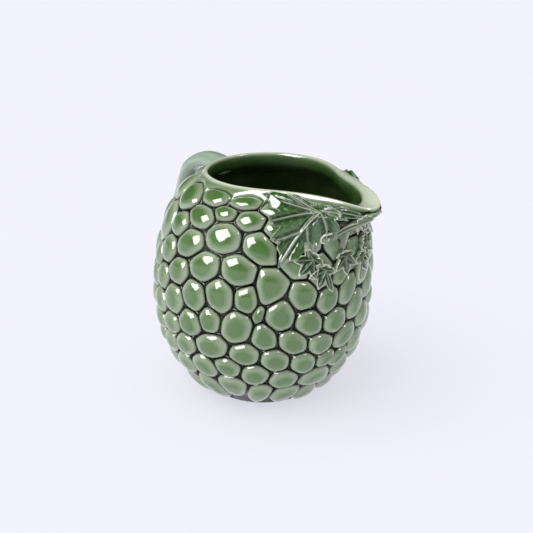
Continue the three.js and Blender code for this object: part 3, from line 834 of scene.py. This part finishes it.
RIM_RINGS = [  # past the rim's outer radius, under the rim, past the beak's reach, thin glaze
    (0.9, 2, 3, 0.15),
    (0, 1, 1, 0.6),
    (-0.6, 0.25, 0, 1.0),
]
rim_outer = MOUTH_RADIUS + RIM_THICKNESS
edges = collar_edges
for past_rim, below, past_beak, thinned in RIM_RINGS:
    level = RIM_HEIGHT - below
    reach = outer_reach(level) + past_beak
    edges = extrude_ring(body, edges, rim_outer + past_rim, level, reach, 0, thinned)
crest = MOUTH_RADIUS + RIM_THICKNESS / 2
edges = extrude_ring(body, edges, crest, RIM_HEIGHT, BEAK_REACH - 0.5, 0, 0.9)
lip = [(MOUTH_RADIUS + 0.7, RIM_HEIGHT - 0.5), (MOUTH_RADIUS, RIM_HEIGHT - 1.9)]
for k, (radius, level) in enumerate(lip + inner_profile()):  # pale on the lip, then painted shade that grows darker deeper inside
    thinned = max(0, 0.7 - 0.6 * k)
    # painted shade inside the jug: darker with each ring further down
    pooled_and_shaded = min(0.55, 0.22 * k)
    edges = extrude_ring(body, edges, radius, level, inner_reach(radius, level), pooled_and_shaded, thinned)
bmesh.ops.edgeloop_fill(body, edges=edges)
print("the rim and the inside bring it to", len(body.faces), "faces")

# %% Extrude the foot
edges = foot_edges
foot_radius = FOOT_RADIUS - FOOT_INSET
sole = foot_radius - FOOT_ROUNDING
# painted shadow: the foot is dark all over, like the shade where the jug meets the floor
for radius, level in ((foot_radius - 0.4, FOOT_ROUNDING), (sole, 0), (sole - 3, 0), (12, 0)):
    edges = extrude_ring(body, edges, radius, level, 0, 1.0, 0)
bmesh.ops.edgeloop_fill(body, edges=edges)
finish_piece(body, "jug_body", grape_glaze, 1)

# %% [markdown]
# ## The handle
# On the real jug the handle is a length of vine branch, pressed in its own mould and luted on at
# the rim and at the belly. A curve with a bevel would give a plain tube. Here a circle is extruded
# from station to station instead, because each ring can then be flattened, swollen at a knot and
# grooved like bark.

# %% The handle's route
HANDLE_ROUTE = [  # how far out as a share of its reach, how high as a share of its rise
    (0.328, 0.95), (0.481, 0.992), (0.612, 0.992), (0.732, 0.936), (0.812, 0.838), (0.872, 0.695),
    (0.94, 0.56), (0.99, 0.415), (1, 0.259), (0.923, 0.109), (0.721, 0),
]
HANDLE_START = 0.035  # share of the route at which the branch leaves the rim's wall
ROUTE_STEPS = 24


def route_points():
    """A smooth curve through all the points of the route."""
    rise = HANDLE_TOP - HANDLE_FOOT_LEVEL
    knots = [
        Vector((-HANDLE_REACH * out, 0, HANDLE_FOOT_LEVEL + rise * up)) for out, up in HANDLE_ROUTE
    ]
    knots = [2 * knots[0] - knots[1]] + knots + [2 * knots[-1] - knots[-2]]
    points = []
    for before, start, end, after in zip(knots, knots[1:], knots[2:], knots[3:]):
        for k in range(ROUTE_STEPS):
            t = k / ROUTE_STEPS
            bend = (end - before) * t + (2 * before - 5 * start + 4 * end - after) * t ** 2
            points.append(start + (bend + (3 * start - before - 3 * end + after) * t ** 3) / 2)
    return points + [knots[-2]]


route = route_points()
route_arcs = [0]
for here, there in zip(route, route[1:]):
    route_arcs.append(route_arcs[-1] + (there - here).length)
print("the branch is", round(route_arcs[-1]), "mm long")


# %% A tube, extruded from station to station
def extrude_tube(bm, sides, stations, set_point):
    """Calls set_point with each point, its turn round the tube and its share of the length."""
    turn = bm.verts.layers.float["turn"]
    ring = bmesh.ops.create_circle(bm, segments=sides, radius=1)["verts"]
    for vert in ring:
        vert[turn] = math.atan2(vert.co.y, vert.co.x)
    edges = bm.edges[:]
    first_edges = edges
    for station in range(stations + 1):
        if station:
            ring, edges = extruded(bm, edges)
        for vert in ring:
            set_point(vert, vert[turn], station / stations)
    bmesh.ops.edgeloop_fill(bm, edges=edges)
    bmesh.ops.edgeloop_fill(bm, edges=first_edges)
    print("a tube of", len(bm.verts), "points")


# %% Bark and girth of the branch
KNOTS = ((0.3, 0.1), (0.72, 0.08))  # share of the route, swelling
KNOT_LENGTH = 0.035
ROOT_SWELLING = 0.3
ROOT_LENGTH = 0.1
BROAD_BARK = 0.008
FINE_BARK = 0.004
WIDTH_TAPER = 0.12
THICKNESS_TAPER = 0.1
SLIMMING = 0.96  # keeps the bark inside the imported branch's thickness


def along_route(share):
    arc = share * route_arcs[-1]
    k = next(k for k in range(1, len(route)) if route_arcs[k] >= arc - 1e-6)
    part = (arc - route_arcs[k - 1]) / (route_arcs[k] - route_arcs[k - 1])
    return route[k - 1].lerp(route[k], part), (route[k] - route[k - 1]).normalized()


def bark(turn, share):
    """Shallow grooves that wind slowly along the branch."""
    broad = math.cos(7 * turn + 9 * share)
    fine = math.cos(19 * turn - 14 * share + 2 * math.sin(11 * share))
    return BROAD_BARK * broad + FINE_BARK * fine


def branch_place(turn, share):
    middle, heading = along_route(share)
    side = Vector((0, 1, 0))
    outward = heading.cross(side)
    knots = sum(size * math.exp(-((share - at) / KNOT_LENGTH) ** 2) for at, size in KNOTS)
    root = ROOT_SWELLING * math.exp(-((share / ROOT_LENGTH) ** 2))
    grooved = (1 + knots) * (1 + bark(turn, share))
    width = HANDLE_WIDTH / 2 * (1 + root) * (1 - WIDTH_TAPER * share) * grooved
    thickness = SLIMMING * HANDLE_THICKNESS / 2 * (1 - THICKNESS_TAPER * share) * grooved
    return (middle + side * width * math.cos(turn) + outward * thickness * math.sin(turn)) * MM


print("the branch starts at", tuple(round(v, 3) for v in branch_place(0, HANDLE_START)))

# %% Build the branch
BRANCH_SIDES = 40
BRANCH_STATIONS = 72
BARK_CONTRAST = 0.3

branch = new_piece_mesh("turn")
pool_and_shade = branch.verts.layers.float["pool_and_shade"]
thin = branch.verts.layers.float["thin"]


def set_branch_point(vert, turn, share):
    along = HANDLE_START + (1 - HANDLE_START) * share
    groove = bark(turn, along) / (BROAD_BARK + FINE_BARK)
    vert.co = branch_place(turn, along)
    vert[pool_and_shade] = max(0, -BARK_CONTRAST * groove)
    vert[thin] = max(0, BARK_CONTRAST * groove)


extrude_tube(branch, BRANCH_SIDES, BRANCH_STATIONS, set_branch_point)
finish_piece(branch, "branch_handle", branch_glaze, 1)

# %% [markdown]
# ## Vine leaves
# The leaves were pressed in small moulds and laid on the soft casting. Each is built on a flat grid
# that is bent into a disc: one way across the grid goes round the hub, the other goes out from it.
# The outline is a row of the grid, and the rows past it fold under and close the piece. Each point
# rises or sinks by its distance from the nearest vein and from the edge. A cut-out sheet with a
# displacement map could do the same, but its veins would be less crisp.

# %% Veins of a leaf
FORKS = {24: 0.3, -19: 0.42, -97: 0.0}  # where a side lobe's vein leaves the middle vein
VEIN_END = 0.96
LOBE_NARROWING = 0.5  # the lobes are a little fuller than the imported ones
LOBE_POINTING = 1.4


def ridge(distance, width):
    return math.exp(-((distance / width) ** 2))


def full_radius(leaf, turn):
    return leaf_radius(leaf, turn, LOBE_NARROWING, LOBE_POINTING)


def from_hub(leaf, turn, share):
    a = math.radians(turn)
    return leaf["size"] * share * Vector((math.cos(a), math.sin(a)))


def nearest_vein(leaf, place):
    """Distance along and beside the nearest vein, and that vein's length."""
    found = None
    for vein, length, width in leaf["lobes"]:
        fork = FORKS.get(vein, 0) if leaf["lobes"] is SPREAD_LEAF else 0
        start = from_hub(leaf, 0, fork)
        line = from_hub(leaf, vein, VEIN_END * length) - start
        along = clamp((place - start).dot(line) / line.length, 0, line.length)
        beside = (place - start - line.normalized() * along).length
        if found is None or beside < found[1]:
            found = (along, beside, line.length)
    return found


print("the large leaf's middle vein is", round(from_hub(vine_leaf, 0, VEIN_END).length), "mm long")

# %% Relief of a leaf
FIELD_RISE = 0.3
VEIN_RISE = 1.3
VEIN_FALL = 0.4  # share of its rise that a vein loses towards the edge
FURROW_DEPTH = 0.9
FURROW_PLACE = 1.8
FURROW_WIDTH = 1.3
SIDE_VEIN_GAP = 5.2
SIDE_VEIN_SLANT = 0.9
SIDE_VEIN_WIDTH = 0.4
SIDE_VEIN_RISE = 0.4
QUILT_RISE = 0.5
EDGE_RISE = 0.9
WAVE_RISE = 0.5
WAVES = 9
BROAD_LEAF = 15  # a leaf larger than this has side veins and a quilted field
BROAD_STYLE = {
    "side veins": 1, "vein width": 0.7, "edge width": 0.8, "furrow pool and shade": 0.6,
    "vein pool": 1, "pale vein": 0.5, "pale edge": 0.65,
}
SMALL_STYLE = {
    "side veins": 0, "vein width": 0.6, "edge width": 1.5, "furrow pool and shade": 0.5,
    "vein pool": 0.4, "pale vein": 0.25, "pale edge": 1,
}


def leaf_relief(leaf, turn, share):
    """Height over the wall, the dark of pooled glaze and painted shade, and the thin glaze, at a
    place on a leaf.
    """
    style = BROAD_STYLE if leaf["size"] > BROAD_LEAF else SMALL_STYLE
    reach = full_radius(leaf, turn) * share
    along, beside, length = nearest_vein(leaf, from_hub(leaf, turn, reach / leaf["size"]))
    main = ridge(beside, style["vein width"] * (1 - 0.5 * along / length))
    furrow = ridge(beside - FURROW_PLACE, FURROW_WIDTH)
    phase = (along - SIDE_VEIN_SLANT * beside) / SIDE_VEIN_GAP
    side = ridge((phase - round(phase)) * SIDE_VEIN_GAP, SIDE_VEIN_WIDTH)
    side *= clamp(beside / 2, 0, 1) * style["side veins"]
    quilt = abs(math.sin(math.pi * phase)) * clamp(beside / 3, 0, 1) * style["side veins"]
    edge = ridge(full_radius(leaf, turn) - reach, style["edge width"])
    wave = math.sin(math.radians(WAVES * turn)) * share ** 2
    height = FIELD_RISE + VEIN_RISE * main * (1 - VEIN_FALL * share)
    height += SIDE_VEIN_RISE * side + QUILT_RISE * quilt + EDGE_RISE * edge + WAVE_RISE * wave
    height -= FURROW_DEPTH * furrow * (1 - edge)
    # dark in the furrows beside the veins: pooled glaze, and painted shade where the furrows dip
    pooled_and_shaded = clamp(0.35 + style["furrow pool and shade"] * furrow - 0.3 * quilt, 0, 1)
    pooled_and_shaded *= 1 - max(style["vein pool"] * main, 0.5 * side, edge)
    thinned = max(style["pale vein"] * main, 0.12 * side, style["pale edge"] * edge)
    return height, pooled_and_shaded, thinned


print("relief at a hub:", [round(v, 2) for v in leaf_relief(vine_leaf, 0, 0)])


# %% [markdown]
# One lobe of the large leaf is folded flat, and shines in the photograph like a small mirror,
# because it faces half way between the camera and the window. A cut and bent corner could be
# modelled by hand. Here each of its points gets the height that brings it into that one plane.

# %% A folded lobe
WINDOW_AZIMUTH = -93
WINDOW_ELEVATION = 32
FOLD_TURN = -63
FOLD_SHARE = 0.66
FOLD_RADIUS = 6.0
FOLD_BLEND = 1.2
FOLD_RISE = 1.2
FOLD_LOWEST = -2
FOLD_HIGHEST = 3.2

fold_normal = (toward_camera + direction_of(WINDOW_AZIMUTH, WINDOW_ELEVATION)).normalized()
fold_place = from_hub(vine_leaf, FOLD_TURN, FOLD_SHARE)
fold_beside_hub = Matrix.Rotation(math.radians(vine_leaf["points"]), 2) @ fold_place
fold_middle = on_wall(*beside_hub(vine_leaf, *fold_beside_hub), FOLD_RISE)


def folded(leaf, place, angle, level, height):
    """The height in the flat lobe, or as it was further away, and how far inside a point is."""
    off = place - fold_place
    inside = smooth((FOLD_RADIUS - max(abs(off.x), abs(off.y))) / FOLD_BLEND)
    if leaf is not vine_leaf or inside == 0:
        return height, 0
    foot = on_wall(angle, level, 0)
    outward = (on_wall(angle, level, 1) - foot) / MM
    flat = (fold_middle - foot).dot(fold_normal) / outward.dot(fold_normal) / MM
    return height + (clamp(flat, FOLD_LOWEST, FOLD_HIGHEST) - height) * inside, inside


print("the folded lobe faces", tuple(round(v, 2) for v in fold_normal))

# %% Edge, teeth and seat of a leaf
TOOTH = 0.1
TOOTH_START = 0.5  # share of the way out from which the teeth show
COLLAR_LIFT = 1.5  # a leaf rises over the collar
COLLAR_START = 8
COLLAR_RUN = 6
EDGE_DROP = 0.9
SEAT_DEPTH = 0.6  # a leaf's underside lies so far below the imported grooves
LEAF_TOP = RIM_HEIGHT - 0.4


def toothed(leaf, turn, share):
    """Pointed teeth with round notches, only near the edge."""
    tooth = 0.5 - abs(math.sin(math.radians(leaf["teeth"] * turn / 2)))
    return 1 + TOOTH * tooth * smooth((share - TOOTH_START) / (1 - TOOTH_START))


def over_collar(angle, level):
    near_rim = smooth((level - RIM_HEIGHT + COLLAR_START) / COLLAR_RUN)
    return COLLAR_LIFT * near_rim * (1 - 2 * beak_share(angle))


def leaf_point(leaf, turn, share, part):
    """Place, pooled glaze and painted shade, and thin glaze of a point in the field, at the edge or
    on the underside.
    """
    reach = full_radius(leaf, turn) * share * toothed(leaf, turn, share)
    bearing = math.radians(turn + leaf["points"])
    angle, level = beside_hub(leaf, reach * math.cos(bearing), reach * math.sin(bearing))
    height, pooled_and_shaded, thinned = leaf_relief(leaf, turn, share)
    flat_place = from_hub(leaf, turn, reach / leaf["size"])
    height, fold = folded(leaf, flat_place, angle, level, height)
    height += over_collar(angle, level)
    if part == "edge":
        height -= EDGE_DROP
    elif part == "underside":
        height = -relief(angle, level) - SEAT_DEPTH
    place = on_wall(angle, level, height)
    place.x = min(place.x, cad_box[1][0])
    place.z = min(place.z, LEAF_TOP * MM)
    return place, pooled_and_shaded * (1 - fold), thinned


print("a tooth is up to", round(TOOTH * vine_leaf["size"], 1), "mm long")

# %% Build the leaves
FINE_LEAF = 20  # a leaf larger than this gets the fine grid
FINE_GRID = (264, 34)  # columns round the hub, rows out from it
COARSE_GRID = (120, 18)
UNDER_ROWS = 2
UNDER_SHARE = 0.96
SAME_POINT = 0.004


def build_leaf(name, side):
    leaf = LEAVES[name]
    columns, rows = FINE_GRID if leaf["size"] > FINE_LEAF else COARSE_GRID
    top_rows = rows - UNDER_ROWS
    bm = new_piece_mesh()
    pool_and_shade = bm.verts.layers.float["pool_and_shade"]
    thin = bm.verts.layers.float["thin"]
    bmesh.ops.create_grid(bm, x_segments=columns, y_segments=rows, size=1)
    for vert in bm.verts:
        turn = 180 * vert.co.x
        row = round((vert.co.y + 1) / 2 * rows)
        part = "field" if row < top_rows else "edge" if row == top_rows else "underside"
        share = (rows - row) / UNDER_ROWS * UNDER_SHARE if part == "underside" else row / top_rows
        place, vert[pool_and_shade], vert[thin] = leaf_point(leaf, turn, share, part)
        vert.co = place if side != "_left" else Vector((place.x, -place.y, place.z))
    bmesh.ops.remove_doubles(bm, verts=bm.verts, dist=SAME_POINT * MM)
    finish_piece(bm, name + side, leaf_glaze, 0)


for name in ("beak_leaf", "bud_leaf"):
    build_leaf(name, "")
for side in ("_right", "_left"):
    for name in ("rim_leaf", "vine_leaf", "small_leaf", "lower_leaf"):
        build_leaf(name, side)

# %% [markdown]
# ## Tendrils
# A tendril is a rolled thread of clay that curls round on itself. A curve with a bevel would give
# the same thread, but not lay it on the wall. So it is a tube like the branch, extruded along the
# curl, and thinner towards its end.

# %% The tendril's curl
TENDRIL = leaf_plan(-12.5, 0.822, 0.13, 70, [], 0, 0)
TENDRIL_TURN = 330
TENDRIL_TIGHTENING = 1.5
TENDRIL_CLOSING = 0.72
TENDRIL_WIDTH = 0.044 * LEAF_SIZE
TENDRIL_TAPER = 0.3
TENDRIL_RISE = 0.4


def curl_place(share):
    bearing = math.radians(TENDRIL["points"] + TENDRIL_TURN * share ** TENDRIL_TIGHTENING)
    arm = TENDRIL["size"] * (1 - TENDRIL_CLOSING * share)
    return Vector((arm * math.cos(bearing), arm * math.sin(bearing), 0))


def tendril_place(turn, share):
    """A point on the thread's surface, at a turn round it and a share of its length."""
    ahead = (curl_place(share + 0.01) - curl_place(share)).normalized()
    half = TENDRIL_WIDTH / 2 * (1 - TENDRIL_TAPER * share)
    place = curl_place(share) + ahead.cross(Vector((0, 0, 1))) * half * math.cos(turn)
    angle, level = beside_hub(TENDRIL, place.x, place.y)
    return on_wall(angle, level, TENDRIL_RISE + half * math.sin(turn))


print("the thread is", round(TENDRIL_WIDTH, 1), "mm thick where it starts")

# %% Build the tendrils
TENDRIL_SIDES = 12
TENDRIL_STATIONS = 40


def build_tendril(side, sign):
    bm = new_piece_mesh("turn")
    thin = bm.verts.layers.float["thin"]

    def set_point(vert, turn, share):
        place = tendril_place(turn, share)
        vert.co = Vector((place.x, sign * place.y, place.z))
        vert[thin] = 0.5 + 0.5 * math.sin(turn)

    extrude_tube(bm, TENDRIL_SIDES, TENDRIL_STATIONS, set_point)
    finish_piece(bm, "tendril" + side, leaf_glaze, 1)


build_tendril("_right", 1)
build_tendril("_left", -1)

# %% [markdown]
# ## The floor
# A pale floor fills the picture, and in a white studio a jug's shadow on it is faint. More lamps
# could thin the shadow out, but they would bleach the glaze too. So to the camera, and in mirror
# images, most of the floor's colour is its own, and the rest takes the light and the shadow.

# %% Floor
FLOOR_HALF = 6
FLOOR_PAINT = linear(241, 241, 249)
FLOOR_PALE = linear(243, 242, 253)
FLOOR_EVENNESS = 0.7  # share of the floor's colour that the shadow can't darken


def floor_material():
    material = bpy.data.materials.new("floor_paint")
    material.use_nodes = True
    tree = material.node_tree
    shader = tree.nodes["Principled BSDF"]
    fill(tree, shader, {"Base Color": FLOOR_PAINT, "Roughness": 0.8})
    glow = node(tree, "ShaderNodeEmission", (0, -300))
    fill(tree, glow, {"Color": FLOOR_PALE})
    rays = node(tree, "ShaderNodeLightPath", (-400, 300)).outputs
    seen = maths(tree, (-200, 300), "MAXIMUM", rays["Is Camera Ray"], rays["Is Glossy Ray"])
    share = maths(tree, (0, 300), "MULTIPLY", seen, FLOOR_EVENNESS)
    mixed = node(tree, "ShaderNodeMixShader", (300, 0))
    fill(tree, mixed, {0: share, 1: shader.outputs["BSDF"], 2: glow.outputs["Emission"]})
    fill(tree, tree.nodes["Material Output"], {"Surface": mixed.outputs["Shader"]})
    return material


floor_bm = bmesh.new()
bmesh.ops.create_grid(floor_bm, x_segments=1, y_segments=1, size=FLOOR_HALF)
floor = new_object("floor", mesh_from(floor_bm, "floor", floor_material()))
print("the floor is", 2 * FLOOR_HALF, "metres across")

# %% [markdown]
# ## Lamps
# A wide sun from above gives the soft light. It isn't mirrored in the glaze, because a real studio
# has no such disc. The two square softboxes are only mirrored: the large one on the left gives
# each grape its bright window. One strong softbox could do both jobs, but the jug's dark side
# would then be too dark.


# %% Lamps
def softbox(name, azimuth, elevation, distance, side, power, roll):
    """A square lamp that is only mirrored in the glaze."""
    data = bpy.data.lights.new(name, "AREA")
    data.shape = "SQUARE"
    data.size = side
    data.energy = power
    lamp = new_object(name, data)
    lamp.visible_diffuse = False
    out = direction_of(azimuth, elevation)
    lamp.location = LOOK_AT + out * distance
    turn = (-out).to_track_quat("-Z", "Y").to_matrix().to_4x4()
    lamp.rotation_euler = (turn @ Matrix.Rotation(math.radians(roll), 4, "Z")).to_euler()


softbox("window_left", WINDOW_AZIMUTH, WINDOW_ELEVATION, 1.1, 0.78, 20, roll=42)
softbox("window_right", 18, 45, 1.4, 0.35, 4, roll=10)
sun_data = bpy.data.lights.new("overhead", "SUN")
sun_data.energy = 1.6
sun_data.angle = math.radians(60)
sun = new_object("overhead", sun_data)
sun.visible_glossy = False
sun.rotation_euler = (math.radians(32), 0, math.radians(-15))

# %% [markdown]
# ## Surroundings
# The world is the pale room round the jug. A plain white world would be mirrored all over the
# glaze and turn it milky, and a dark one would leave the light hard. So its light is pale and
# even, and its mirror image is pale only near the horizon and grey higher up.

# %% World
WORLD_LIGHT = 0.68  # on the jug; the camera sees the world at full strength
ROOM_WHITE = linear(246, 246, 252)
MIRRORED_LOW = linear(205, 210, 216)
MIRRORED_HIGH = linear(66, 70, 72)
MIRRORED_TURN = 0.3  # upward part of a direction at which the mirrored room is grey


def light_world(world):
    world.use_nodes = True
    sky = world.node_tree
    direction = node(sky, "ShaderNodeTexCoord", (-1100, 0)).outputs["Generated"]
    split = node(sky, "ShaderNodeSeparateXYZ", (-900, 0))
    fill(sky, split, {"Vector": direction})
    mirrored = node(sky, "ShaderNodeValToRGB", (-700, 0))
    low, high = mirrored.color_ramp.elements
    low.color = MIRRORED_LOW
    high.color = MIRRORED_HIGH
    high.position = MIRRORED_TURN
    fill(sky, mirrored, {"Fac": split.outputs["Z"]})
    rays = node(sky, "ShaderNodeLightPath", (-700, 300)).outputs
    strength = maths(
        sky, (-300, 300), "MULTIPLY_ADD", rays["Is Camera Ray"], 1 - WORLD_LIGHT, WORLD_LIGHT,
    )
    seen = mix_colours(sky, (-300, 0), rays["Is Glossy Ray"], ROOM_WHITE, mirrored.outputs["Color"])
    fill(sky, sky.nodes["Background"], {"Strength": strength, "Color": seen})


studio = bpy.data.worlds.new("studio")
bpy.context.scene.world = studio
light_world(studio)
bpy.context.scene.view_settings.view_transform = "Standard"
print("the world's light is", WORLD_LIGHT)
